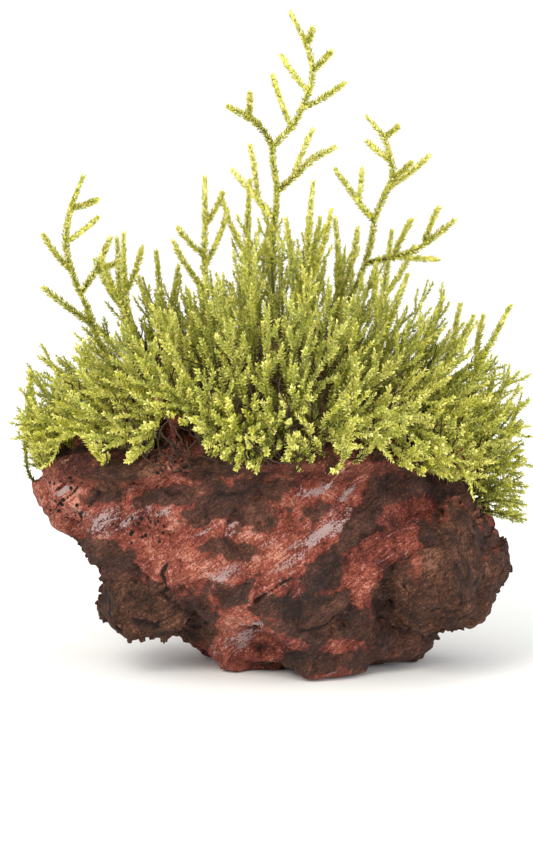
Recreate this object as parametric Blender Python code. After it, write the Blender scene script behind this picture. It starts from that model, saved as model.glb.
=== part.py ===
"""A hand-sized clump of branched moss on the red stone it grows on.

The stone stands on a flat patch of its underside.  Brown earth clings to it in a
lobe under the left end, a crust round the right end and a bed over the top.  Six
moss tufts are rooted in the bed, and taller branched shoots rise through them.
+X is right, +Y is back, +Z is up; the origin lies on the resting patch.
Sizes are written in millimetres and built in metres.
"""

import math

import bmesh
import bpy
import numpy as np
from mathutils import Vector, noise

MM = 0.001

# Driving sizes
GAP = 0.35  # left between pieces that touch
LEAFY_RADIUS = 0.95  # of a shoot with its leaves on
TWIG_RADIUS = 0.85
TIP_RADIUS = 0.5
BORE_RADIUS = 1.9  # of the four-sided way that a stem has through the moss
RING_STEP = 9.0  # spacing of the rings along a stem
FINE_STEP = 0.5  # spacing of the points that a fork or a twig can start from
STONE_HEART = Vector((0, 0, 24))  # the middle that the stone's outline turns about
STONE_DEPTH = 33.0  # from the middle to the front, before it is chipped
MOSS_HEART = Vector((0, 0, 52))
MOSS_DEPTH = 38.0

# Lumps of earth: middle, half its size along each axis, grain and height of its crumbs.
LOBE = (Vector((-26, -7, 17)), Vector((13, 17, 12.5)), 11, 3.0)
CRUST = (Vector((36, -4, 24)), Vector((17, 27, 17)), 11, 2.8)
BED = (Vector((-1, 0, 50)), Vector((51.5, 31, 8)), 8, 1.0)
BED_DROOP = 0.0022  # per mm, with the square of the way out from the middle

# The stone's outline seen from the front: x, z from the right end round over the top.
STONE_OUTLINE = [
    (53, 28), (51, 34), (46, 39), (36, 43), (24, 46), (8, 48), (-8, 49), (-22, 50),
    (-36, 48), (-47, 45), (-54, 40), (-50, 32), (-42, 25), (-33, 18), (-23, 9),
    (-14, 0), (-4, -7), (14, -9), (27, -7), (36, 0), (43, 8), (50, 18),
]  # fmt: skip

# Broken faces of the stone: outward normal, and distance from the stone's heart.
STONE_CHIPS = [
    ((0.05, -1.0, 0.15), 29),
    ((-0.55, -0.75, 0.30), 36),
    ((0.45, -0.80, -0.45), 33),
    ((-0.40, -0.70, -0.60), 27),
    ((0.10, -0.80, 0.70), 33),
    ((0.0, 1.0, 0.1), 29),
    ((-0.55, 0.75, -0.1), 36),
    ((0.50, 0.80, -0.40), 34),
    ((0.0, 0.75, -0.75), 28),
]

# Peaks of bare stone along the front edge: x, y, rise, and width.
STONE_PEAKS = [(-44, -13, 8, 7), (-21, -18, 11, 7), (-24, -3, 12, 9), (-9, -21, 5, 7)]

# Spikes of earth that stand out along the front edge: x, y, rise, and width.
BED_SPIKES = [(24, -17, 6, 9), (42, -10, 5, 8), (-8, -18, 3, 9)]

# Tips of the moss seen from the front: x, z, from the right edge round over the top.
MOSS_OUTLINE = [
    (55, 49), (55, 58), (51, 70), (43, 76), (34, 80), (25, 87), (18, 96), (10, 100),
    (2, 100), (-7, 93), (-15, 89), (-23, 84), (-32, 81), (-39, 75), (-47, 71),
    (-53, 62), (-55, 52), (-51, 46), (-40, 45), (-20, 45), (0, 45), (20, 44),
    (38, 40), (50, 35), (55, 40),
]  # fmt: skip

# Planes that the moss parts along into its six tufts: a point, and the way across it.
LEFT_SPLIT = ((-18, 0, 45), (1.0, 0, 0.25))
RIGHT_SPLIT = ((18, 0, 45), (-1.0, 0, 0.25))
MID_SPLIT = ((0, 2, 45), (0, 1.0, 0.05))

# Stems as points x, y, z from the root up; twigs as (share of the stem, tip of the twig).
STEMS = {
    "centre_shoot_stem": (
        [(0, -1, 52), (0, -2, 68), (1, -3, 82), (1, -3, 94), (2, -2, 107), (1, -2, 117),
         (5, -3, 121), (8, -3, 127), (10, -2, 133), (9, -1, 139), (5, 0, 147)],
        [(0.92, (10, -4, 144)), (0.86, (14, -5, 139)), (0.81, (3, 2, 137)),
         (0.77, (17, -6, 132)), (0.72, (1, 0, 133))],
    ),
    "right_shoot_stem": (
        [(13, 4, 50), (15, 4, 66), (17, 4, 78), (21, 3, 88), (23, 2, 95), (24, 1, 101),
         (26, 0, 106), (28, -1, 111), (27, -2, 115), (26, -2, 119), (22, -3, 124)],
        [(0.92, (29, -4, 122)), (0.85, (22, 1, 118)), (0.79, (32, -4, 114)),
         (0.76, (36, 0, 115))],
    ),
    "left_shoot_stem": (
        [(-26, 2, 49), (-32, 1, 63), (-37, 0, 71), (-40, -1, 80), (-43, -2, 87), (-45, -3, 95),
         (-44, -4, 103), (-41, -5, 111)],
        [(0.88, (-38, -7, 106)), (0.76, (-38, -1, 101)), (0.66, (-50, -6, 98))],
    ),
    "inner_left_shoot": (
        [(-9, -4, 52), (-12, -5, 68), (-13, -6, 77), (-14, -6, 90), (-14, -7, 101), (-14, -7, 111)],
        [(0.82, (-10, -9, 108)), (0.70, (-20, -9, 100)), (0.66, (-9, -4, 103)),
         (0.56, (-21, -10, 97))],
    ),
    "left_forked_shoot": (
        [(-24, -5, 51), (-29, -7, 68), (-31, -8, 80), (-32, -9, 90), (-32, -10, 99)],
        [(0.72, (-28, -12, 96)), (0.62, (-37, -11, 94))],
    ),
    "left_short_shoot": (
        [(-18, 6, 52), (-22, 7, 70), (-24, 8, 82), (-25, 8, 92)],
        [(0.6, (-20, 6, 89)), (0.5, (-29, 9, 86))],
    ),
    "crown_shoot": (
        [(6, -8, 51), (8, -10, 70), (9, -12, 86), (9, -13, 98), (10, -13, 111)],
        [(0.62, (14, -15, 105)), (0.55, (4, -15, 103))],
    ),
    "crown_right_shoot": (
        [(9, 1, 52), (14, 0, 70), (16, -1, 86), (15, -2, 101)],
        [(0.62, (20, -4, 99))],
    ),
    "right_leaning_shoot": (
        [(17, -6, 50), (23, -9, 68), (27, -11, 79), (31, -13, 90)],
        [(0.6, (24, -9, 92))],
    ),
    "right_outer_shoot": (
        [(24, -4, 48), (31, -6, 64), (35, -7, 75), (39, -8, 84)],
        [],
    ),
    "right_upright_shoot": (
        [(29, 3, 47), (37, 2, 62), (41, 2, 72), (43, 2, 81)],
        [(0.6, (46, 4, 78))],
    ),
    "right_end_shoot": (
        [(34, -3, 45), (42, -4, 58), (48, -5, 70), (54, -6, 82)],
        [(0.6, (48, -8, 80))],
    ),
    "left_end_shoot": (
        [(-40, -6, 48), (-48, -8, 54), (-52, -9, 60), (-53, -9, 68)],
        [],
    ),
    "back_centre_shoot": (
        [(-3, 10, 51), (-4, 17, 70), (-5, 20, 88), (-4, 22, 106)],
        [(0.7, (-10, 23, 101)), (0.6, (2, 24, 99))],
    ),
    "back_right_shoot": (
        [(18, 11, 49), (23, 19, 66), (26, 24, 80), (28, 26, 94)],
        [(0.68, (33, 28, 90))],
    ),
    "back_left_shoot": (
        [(-23, 11, 50), (-29, 18, 64), (-33, 23, 78), (-34, 26, 92)],
        [(0.66, (-39, 28, 87))],
    ),
}

# Limbs that fork off a stem: the stem, the height where they start, then as for stems.
LIMBS = {
    "centre_shoot_left_limb": (
        "centre_shoot_stem", 117, [(-1, -3, 121), (-4, -5, 124), (-9, -7, 127)],
        [(0.62, (-4, -7, 130))],
    ),
    "centre_shoot_right_limb": (
        "centre_shoot_stem", 107, [(6, -4, 111), (10, -6, 115), (15, -8, 118)],
        [(0.3, (10, -2, 121))],
    ),
    "centre_shoot_low_limb": (
        "centre_shoot_stem", 101, [(-1.5, 0, 104), (-4, 2, 107), (-8, 4, 111)],
        [(0.4, (-4, 1, 117))],
    ),
    "right_shoot_left_limb": (
        "right_shoot_stem", 100, [(20.5, 3, 103.5), (18, 4, 107), (15, 5, 111)],
        [(0.4, (21, 6, 111))],
    ),
    "right_shoot_arching_limb": (
        "right_shoot_stem", 90, [(28, 0, 92), (33, -2, 94), (37, -3, 97), (41.5, -5, 101)],
        [(0.3, (32, -4, 101)), (0.3, (38, 3, 91)), (0.62, (38, -6, 104))],
    ),
    "left_shoot_low_limb": (
        "left_shoot_stem", 77, [(-43, -3, 80), (-50, -6, 86)], [],
    ),
    "left_shoot_right_limb": (
        "left_shoot_stem", 84, [(-38, -2, 90), (-35, -3, 97)],
        [(0.4, (-33, -5, 92))],
    ),
}  # fmt: skip


def clear_scene():
    for old in list(bpy.data.objects):
        bpy.data.objects.remove(old, do_unlink=True)


def new_collection(name, hidden=False):
    found = bpy.data.collections.new(name)
    found.hide_render = hidden
    bpy.context.scene.collection.children.link(found)
    return found


def new_material(name, color, roughness):
    made = bpy.data.materials.new(name)
    made.use_nodes = True
    shader = made.node_tree.nodes["Principled BSDF"]
    shader.inputs["Base Color"].default_value = (*color, 1.0)
    shader.inputs["Roughness"].default_value = roughness
    shader.inputs["Metallic"].default_value = 0.0
    return made


def add_object(name, mesh, collection, material=None):
    made = bpy.data.objects.new(name, mesh)
    collection.objects.link(made)
    if material:
        mesh.materials.clear()
        mesh.materials.append(material)
    return made


def as_cutter(obj):
    obj.hide_render = True
    obj.display_type = "WIRE"
    return obj


def add_boolean(obj, operation, other=None, collection=None):
    """Joins to obj, or takes from it, another mesh or a whole collection of them."""
    modifier = obj.modifiers.new(operation.title(), "BOOLEAN")
    modifier.operation = operation
    if collection:
        modifier.operand_type = "COLLECTION"
        modifier.collection = collection
    else:
        modifier.object = other


def roughness_at(point, grain, amount):
    """Fractal noise of this grain size and amount, all in millimetres."""
    return amount * noise.fractal(point / grain, 0.9, 2.1, 3)


def outline_radius(outline, heart):
    """A function that gives the outline's distance from its heart at any angle."""
    angles = np.array([math.atan2(z - heart.z, x - heart.x) for x, z in outline])
    reach = np.array([math.hypot(x - heart.x, z - heart.z) for x, z in outline])
    order = np.argsort(angles)
    angles, reach = angles[order], reach[order]

    def at(angle):
        return float(np.interp(angle, angles, reach, period=2 * math.pi))

    return at


def rounded_body(name, outline, heart, depth, blockiness):
    """A closed body whose front view is the outline and whose sides round off to depth."""
    radius = outline_radius(outline, heart)
    body = bmesh.new()
    bmesh.ops.create_icosphere(body, subdivisions=4, radius=1.0)
    for vertex in body.verts:
        x, y, z = vertex.co
        across = math.hypot(x, z)
        reach = radius(math.atan2(z, x)) * across**blockiness / max(across, 1e-6)
        forward = math.copysign(abs(y) ** 0.85, y) * depth
        vertex.co = heart + Vector((x * reach, forward, z * reach))
    return finish_mesh(name, body)


def finish_mesh(name, body):
    body.normal_update()
    bmesh.ops.recalc_face_normals(body, faces=body.faces)
    mesh = bpy.data.meshes.new(name)
    body.to_mesh(mesh)
    body.free()
    return mesh


def to_metres(mesh):
    for vertex in mesh.vertices:
        vertex.co = vertex.co * MM
    mesh.shade_smooth()
    return mesh


def chip(point):
    """Pushes a point that lies beyond one of the stone's broken faces back onto it."""
    for normal, distance in STONE_CHIPS:
        outward = Vector(normal).normalized()
        beyond = (point - STONE_HEART).dot(outward) - distance
        if beyond > 0:
            point = point - outward * beyond
    return point


def rise_at(point, peaks):
    """How far rounded peaks, each given as x, y, rise and width, lift the ground here."""
    total = 0.0
    for x, y, rise, width in peaks:
        off = math.hypot(point.x - x, point.y - y) / width
        total += rise * math.exp(-off * off)
    return total


def stone_mesh():
    mesh = rounded_body("red_stone", STONE_OUTLINE, STONE_HEART, STONE_DEPTH, 0.72)
    for vertex in mesh.vertices:
        point = chip(vertex.co.copy())
        away = (point - STONE_HEART).normalized()
        point += away * roughness_at(point, 17, 2.2)
        point += away * roughness_at(point + Vector((40, 0, 0)), 6, 0.9)
        if point.z > STONE_HEART.z:
            point.z += rise_at(point, STONE_PEAKS)
        point.z = max(point.z, 0.0)  # the flat patch that it stands on
        vertex.co = point
    return to_metres(mesh)


def lump_mesh(name, centre, size, grain, amount, droop=0.0, peaks=()):
    """A crumbly lump of earth: a ball stretched to size, bent down and roughened."""
    body = bmesh.new()
    bmesh.ops.create_icosphere(body, subdivisions=3, radius=1.0)
    for vertex in body.verts:
        away = vertex.co.normalized()
        point = centre + Vector(a * s for a, s in zip(away, size))
        point.z += rise_at(point, peaks) - droop * point.x**2
        vertex.co = point + away * roughness_at(point, grain, amount)
    return to_metres(finish_mesh(name, body))


def moss_mesh(name):
    """The whole dome of moss, which each tuft is parted from."""
    mesh = rounded_body(name, MOSS_OUTLINE, MOSS_HEART, MOSS_DEPTH, 0.8)
    for vertex in mesh.vertices:
        away = (vertex.co - MOSS_HEART).normalized()
        vertex.co += away * roughness_at(vertex.co.copy(), 13, 2.0)
    return to_metres(mesh)


def room_around(obj):
    """A hidden copy of a piece's first shape, a gap larger all round, to cut neighbours."""
    body = bmesh.new()
    body.from_mesh(obj.data)
    body.normal_update()
    moves = [vert.normal * min(vert.calc_shell_factor(), 3.0) for vert in body.verts]
    for vert, move in zip(body.verts, moves):
        vert.co += move * (GAP * MM)
    mesh = finish_mesh(obj.name + "_room", body)
    return as_cutter(add_object(obj.name + "_room", mesh, bpy.data.collections["cutters"]))


def side_block(name, side, inward):
    """A block that keeps what lies on one side of a slanting plane, half a gap short of it."""
    point, normal = side
    facing = Vector(normal).normalized() * inward
    reach = 200.0
    body = bmesh.new()
    bmesh.ops.create_cube(body, size=reach)
    turn = facing.to_track_quat("Z", "Y")
    for vertex in body.verts:
        standing = vertex.co + Vector((0, 0, reach / 2 + GAP / 2))
        vertex.co = (turn @ standing + Vector(point)) * MM
    mesh = finish_mesh(name, body)
    return as_cutter(add_object(name, mesh, bpy.data.collections["cutters"]))


def smooth_route(points, step):
    """Evenly spaced points on a smooth curve through the given ones."""
    known = [Vector(p) for p in points]
    known = [2 * known[0] - known[1], *known, 2 * known[-1] - known[-2]]
    fine = []
    for a, b, c, d in zip(known, known[1:], known[2:], known[3:]):
        for share in np.linspace(0, 1, 8, endpoint=False):
            t = float(share)
            fine.append(
                0.5 * (2 * b + (c - a) * t + (2 * a - 5 * b + 4 * c - d) * t * t
                       + (3 * b - a - 3 * c + d) * t**3)
            )  # fmt: skip
    fine.append(known[-2])
    along = np.cumsum([0.0] + [(q - p).length for p, q in zip(fine, fine[1:])])
    count = max(3, round(along[-1] / step) + 1)
    wanted = np.linspace(0, along[-1], count)
    axes = [np.interp(wanted, along, [p[axis] for p in fine]) for axis in range(3)]
    return [Vector(p) for p in zip(*axes)]


def twig_route(start, heading, tip):
    """A twig leaves its stem sideways and bends over to its own tip."""
    away = tip - start
    outward = (away - heading * away.dot(heading)).normalized()
    knee = start + away * 0.5 + outward * away.length * 0.08
    return [start, knee, tip]


def tube_mesh(name, route, root_radius, tip_radius, roundness=1):
    """A round shoot along a route, thinning to its tip, with closed ends."""
    curve = bpy.data.curves.new(name, "CURVE")
    curve.dimensions = "3D"
    curve.bevel_depth = MM
    curve.bevel_resolution = roundness
    curve.use_fill_caps = True
    spline = curve.splines.new("POLY")
    spline.points.add(len(route) - 1)
    for i, (spot, point) in enumerate(zip(spline.points, route)):
        share = i / (len(route) - 1)
        spot.co = (*(point * MM), 1.0)
        spot.radius = root_radius + (tip_radius - root_radius) * share**2
    holder = bpy.data.objects.new(name + "_curve", curve)
    bpy.context.scene.collection.objects.link(holder)
    graph = bpy.context.evaluated_depsgraph_get()
    mesh = bpy.data.meshes.new_from_object(holder.evaluated_get(graph))
    bpy.data.objects.remove(holder)
    bpy.data.curves.remove(curve)
    body = bmesh.new()
    body.from_mesh(mesh)
    bmesh.ops.remove_doubles(body, verts=body.verts, dist=0.01 * MM)
    bmesh.ops.recalc_face_normals(body, faces=body.faces)
    body.to_mesh(mesh)
    body.free()
    mesh.name = name
    return mesh


def joined_twigs(shoot):
    return [m.object for m in shoot.modifiers if m.operation == "UNION"]


def build_shoot(name, points, twigs, clump, material):
    """One shoot or limb: a leafy stem with its twigs joined on."""
    cutters = bpy.data.collections["cutters"]
    route = smooth_route(points, RING_STEP)
    shoot = add_object(name, tube_mesh(name, route, LEAFY_RADIUS, TIP_RADIUS), clump, material)
    fine = smooth_route(points, FINE_STEP)
    for i, (share, tip) in enumerate(twigs):
        at = min(round(share * (len(fine) - 1)), len(fine) - 2)
        heading = (fine[at + 1] - fine[at]).normalized()
        way = twig_route(fine[at], heading, Vector(tip))
        twig_name = f"{name}_twig_{i + 1}"
        twig = tube_mesh(twig_name, way, TWIG_RADIUS, TIP_RADIUS, roundness=0)
        add_boolean(shoot, "UNION", as_cutter(add_object(twig_name, twig, cutters)))
    return shoot


def build_ground(clump):
    """The stone and its earth; returns the rooms that whatever stands on them is cut by."""
    red = new_material("red_stone", (0.33, 0.09, 0.06), 0.75)
    brown = new_material("brown_earth", (0.07, 0.035, 0.022), 0.95)

    stone = add_object("red_stone", stone_mesh(), clump, red)
    stone_room = room_around(stone)

    lobe = add_object("earth_lobe_left", lump_mesh("lobe", *LOBE), clump, brown)
    add_boolean(lobe, "DIFFERENCE", stone_room)

    crust = add_object("earth_crust_right", lump_mesh("crust", *CRUST), clump, brown)
    crust_room = room_around(crust)
    add_boolean(crust, "DIFFERENCE", stone_room)

    bed_shape = lump_mesh("bed", *BED, droop=BED_DROOP, peaks=BED_SPIKES)
    bed = add_object("earth_bed", bed_shape, clump, brown)
    bed_room = room_around(bed)
    add_boolean(bed, "DIFFERENCE", stone_room)
    add_boolean(bed, "DIFFERENCE", crust_room)
    return [stone_room, crust_room, bed_room]


def build_stems(clump, bores, ground, material):
    """The stems, which stand on the ground and leave a bore each for the moss to be cut by."""
    for name, (points, twigs) in STEMS.items():
        stem = build_shoot(name, points, twigs, clump, material)
        route = smooth_route(points, RING_STEP)
        bore = tube_mesh(name + "_bore", route, BORE_RADIUS, BORE_RADIUS, roundness=0)
        as_cutter(add_object(name + "_bore", bore, bores))
        for twig in joined_twigs(stem):
            bores.objects.link(room_around(twig))
        for room in ground:
            add_boolean(stem, "DIFFERENCE", room)


def build_limbs(clump, bores, material):
    """The limbs, each cut short where it would run into the stem that it forks from."""
    for name, (stem_name, height, points, twigs) in LIMBS.items():
        way_up = smooth_route(STEMS[stem_name][0], FINE_STEP)
        fork = min(way_up, key=lambda spot: abs(spot.z - height))
        limb = build_shoot(name, [tuple(fork), *points], twigs, clump, material)
        for piece in [limb, *joined_twigs(limb)]:
            bores.objects.link(room_around(piece))
        stem = bpy.data.objects[stem_name]
        add_boolean(limb, "DIFFERENCE", room_around(stem))
        for twig in joined_twigs(stem):
            add_boolean(limb, "DIFFERENCE", bpy.data.objects[twig.name + "_room"])


def build_tufts(clump, bores, ground):
    """Six tufts of low moss, parted along planes, that the stems pass through."""
    green = new_material("moss_turf", (0.22, 0.22, 0.05), 0.7)
    thirds = {
        "left": [side_block("left_keep", LEFT_SPLIT, -1)],
        "middle": [
            side_block("middle_keep_left", LEFT_SPLIT, 1),
            side_block("middle_keep_right", RIGHT_SPLIT, 1),
        ],
        "right": [side_block("right_keep", RIGHT_SPLIT, -1)],
    }
    rows = {
        "front": side_block("front_keep", MID_SPLIT, -1),
        "back": side_block("back_keep", MID_SPLIT, 1),
    }
    for third, sides in thirds.items():
        for row, row_side in rows.items():
            name = f"moss_tuft_{third}_{row}"
            tuft = add_object(name, moss_mesh(name), clump, green)
            for side in [*sides, row_side]:
                add_boolean(tuft, "INTERSECT", side)
            for room in ground:
                add_boolean(tuft, "DIFFERENCE", room)
            add_boolean(tuft, "DIFFERENCE", collection=bores)


def main():
    clear_scene()
    clump = new_collection("moss_clump")
    new_collection("cutters", hidden=True)
    bores = new_collection("bores", hidden=True)
    bright = new_material("moss_shoot", (0.50, 0.45, 0.06), 0.65)
    ground = build_ground(clump)
    build_stems(clump, bores, ground, bright)
    build_limbs(clump, bores, bright)
    build_tufts(clump, bores, ground)


main()
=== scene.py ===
import math

import bmesh
import bpy
import numpy as np
from mathutils import Matrix, Vector
from mathutils.bvhtree import BVHTree


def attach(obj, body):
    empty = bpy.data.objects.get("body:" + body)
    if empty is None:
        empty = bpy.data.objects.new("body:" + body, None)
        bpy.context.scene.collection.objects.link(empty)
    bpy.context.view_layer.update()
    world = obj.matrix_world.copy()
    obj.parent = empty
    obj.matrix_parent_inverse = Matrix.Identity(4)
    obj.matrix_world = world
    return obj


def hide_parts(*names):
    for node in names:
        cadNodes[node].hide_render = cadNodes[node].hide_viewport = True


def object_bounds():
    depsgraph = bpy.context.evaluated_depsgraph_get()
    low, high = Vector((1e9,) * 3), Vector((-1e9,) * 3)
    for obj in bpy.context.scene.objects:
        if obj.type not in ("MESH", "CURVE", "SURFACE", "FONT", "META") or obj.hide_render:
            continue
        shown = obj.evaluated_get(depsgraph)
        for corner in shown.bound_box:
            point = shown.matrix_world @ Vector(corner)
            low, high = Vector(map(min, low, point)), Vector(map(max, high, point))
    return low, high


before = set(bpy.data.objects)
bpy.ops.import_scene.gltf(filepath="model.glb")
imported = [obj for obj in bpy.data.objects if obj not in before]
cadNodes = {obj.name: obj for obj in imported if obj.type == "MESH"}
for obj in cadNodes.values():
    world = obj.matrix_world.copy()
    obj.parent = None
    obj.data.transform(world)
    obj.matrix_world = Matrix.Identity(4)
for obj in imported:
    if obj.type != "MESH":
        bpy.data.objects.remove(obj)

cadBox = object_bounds()
mm = 0.001  # shapes are worked out in millimetres and become metres in makePiece
goldenAngle = math.radians(137.5)  # the turn from one leaf to the next up a stem


# Colours, nodes and meshes

def linear(hexColour):
    # sRGB to linear light: a power of 2.4 with a short straight foot
    parts = [int(hexColour[i:i + 2], 16) / 255 for i in (1, 3, 5)]
    return [p / 12.92 if p <= 0.04045 else ((p + 0.055) / 1.055) ** 2.4 for p in parts] + [1.0]


def addNode(tree, kind, settings=None, links=None):
    # settings are sockets by name or number, node properties, or "ramp": a list of (place, colour)
    node = tree.nodes.new(kind)
    for key, value in (settings or {}).items():
        if key == "ramp":
            stops = node.color_ramp.elements
            while len(stops) < len(value):
                stops.new(1.0)
            for stop, (place, colour) in zip(stops, value):
                stop.position = place
                stop.color = linear(colour) if isinstance(colour, str) else [colour] * 3 + [1]
        elif isinstance(key, int) or key in node.inputs:
            node.inputs[key].default_value = value
        else:
            setattr(node, key, value)
    for key, source in (links or {}).items():
        tree.links.new(source, node.inputs[key])
    return node


def newMaterial(name, settings):
    material = bpy.data.materials.new(name)
    material.use_nodes = True
    tree = material.node_tree
    shader = tree.nodes["Principled BSDF"]
    for key, value in settings.items():
        shader.inputs[key].default_value = value
    return material, tree, shader


def makePiece(name, points, faces, material, replaced=(), uv=None, masks=None):
    # faces is a list of whole-number arrays, three or four corners wide
    mesh = bpy.data.meshes.new(name)
    corners = np.concatenate([f.ravel() for f in faces])
    widths = np.concatenate([np.full(len(f), f.shape[1]) for f in faces])
    mesh.vertices.add(len(points))
    mesh.vertices.foreach_set("co", (points * mm).astype(np.float32).ravel())
    mesh.loops.add(len(corners))
    mesh.loops.foreach_set("vertex_index", corners.astype(np.int32))
    mesh.polygons.add(len(widths))
    mesh.polygons.foreach_set("loop_start", (np.cumsum(widths) - widths).astype(np.int32))
    mesh.polygons.foreach_set("use_smooth", np.zeros(len(widths), bool))
    mesh.update(calc_edges=True)
    if uv is not None:
        layer = mesh.uv_layers.new(name="OFBake")
        layer.uv.foreach_set("vector", uv[corners].astype(np.float32).ravel())
    for key, values in (masks or {}).items():
        mesh.attributes.new(key, "FLOAT", "POINT").data.foreach_set("value", values.astype(np.float32))
    mesh.validate()
    mesh.materials.append(material)
    piece = bpy.data.objects.new(name, mesh)
    bpy.context.scene.collection.objects.link(piece)
    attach(piece, "root")
    if replaced:
        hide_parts(*replaced)
    print(f"{name}: {int((widths - 2).sum())} triangles")
    return piece


# Noise, all of it on whole arrays of points

def scramble(cells, seed):
    # a number from 0 to 1 for each cell: three odd multipliers, then two shift-and-multiply rounds
    h = cells[..., 0] * 73856093 ^ cells[..., 1] * 19349663 ^ cells[..., 2] * 83492791 ^ seed * 374761393
    h = h & 0xFFFFFFFF
    h = ((h >> 16) ^ h) * 0x45D9F3B & 0xFFFFFFFF
    h = ((h >> 16) ^ h) * 0x45D9F3B & 0xFFFFFFFF
    return ((h >> 16) ^ h) / 4294967295.0


def smoothNoise(points, size, seed):
    # a random number at each corner of a cube, blended across it by 3t^2 - 2t^3; runs from -1 to 1
    grid = points / size + 512.0
    cell = np.floor(grid).astype(np.int64)
    t = grid - cell
    t = t * t * (3 - 2 * t)
    total = np.zeros(len(points))
    for corner in np.ndindex(2, 2, 2):
        total += np.prod(np.where(corner, t, 1 - t), axis=1) * scramble(cell + corner, seed)
    return total * 2 - 1


def fractalNoise(points, size, seed, octaves=4):
    # each octave is half the size and half the height of the last
    layers = [smoothNoise(points, size / 2**i, seed + i) / 2**i for i in range(octaves)]
    return sum(layers) / (2 - 0.5 ** (octaves - 1))


def crumbNoise(points, size, seed):
    # how far the nearest of the points strewn one to a cube is, in cubes, and that point's number
    grid = points / size + 512.0
    cell = np.floor(grid).astype(np.int64)
    nearest = np.full(len(points), 9.0)
    number = np.zeros(len(points))
    for step in np.ndindex(3, 3, 3):
        home = cell + np.array(step) - 1
        place = home + np.stack([scramble(home, seed + k) for k in (1, 2, 3)], axis=1)
        away = np.linalg.norm(grid - place, axis=1)
        number = np.where(away < nearest, scramble(home, seed + 4), number)
        nearest = np.minimum(nearest, away)
    return nearest, number


def ease(values, low, high):
    # 0 below low, 1 above high, 3t^2 - 2t^3 between
    t = np.clip((values - low) / (high - low), 0, 1)
    return t * t * (3 - 2 * t)


def unit(vectors):
    return vectors / np.maximum(np.linalg.norm(vectors, axis=-1, keepdims=True), 1e-9)


# Materials of the ground

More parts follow.
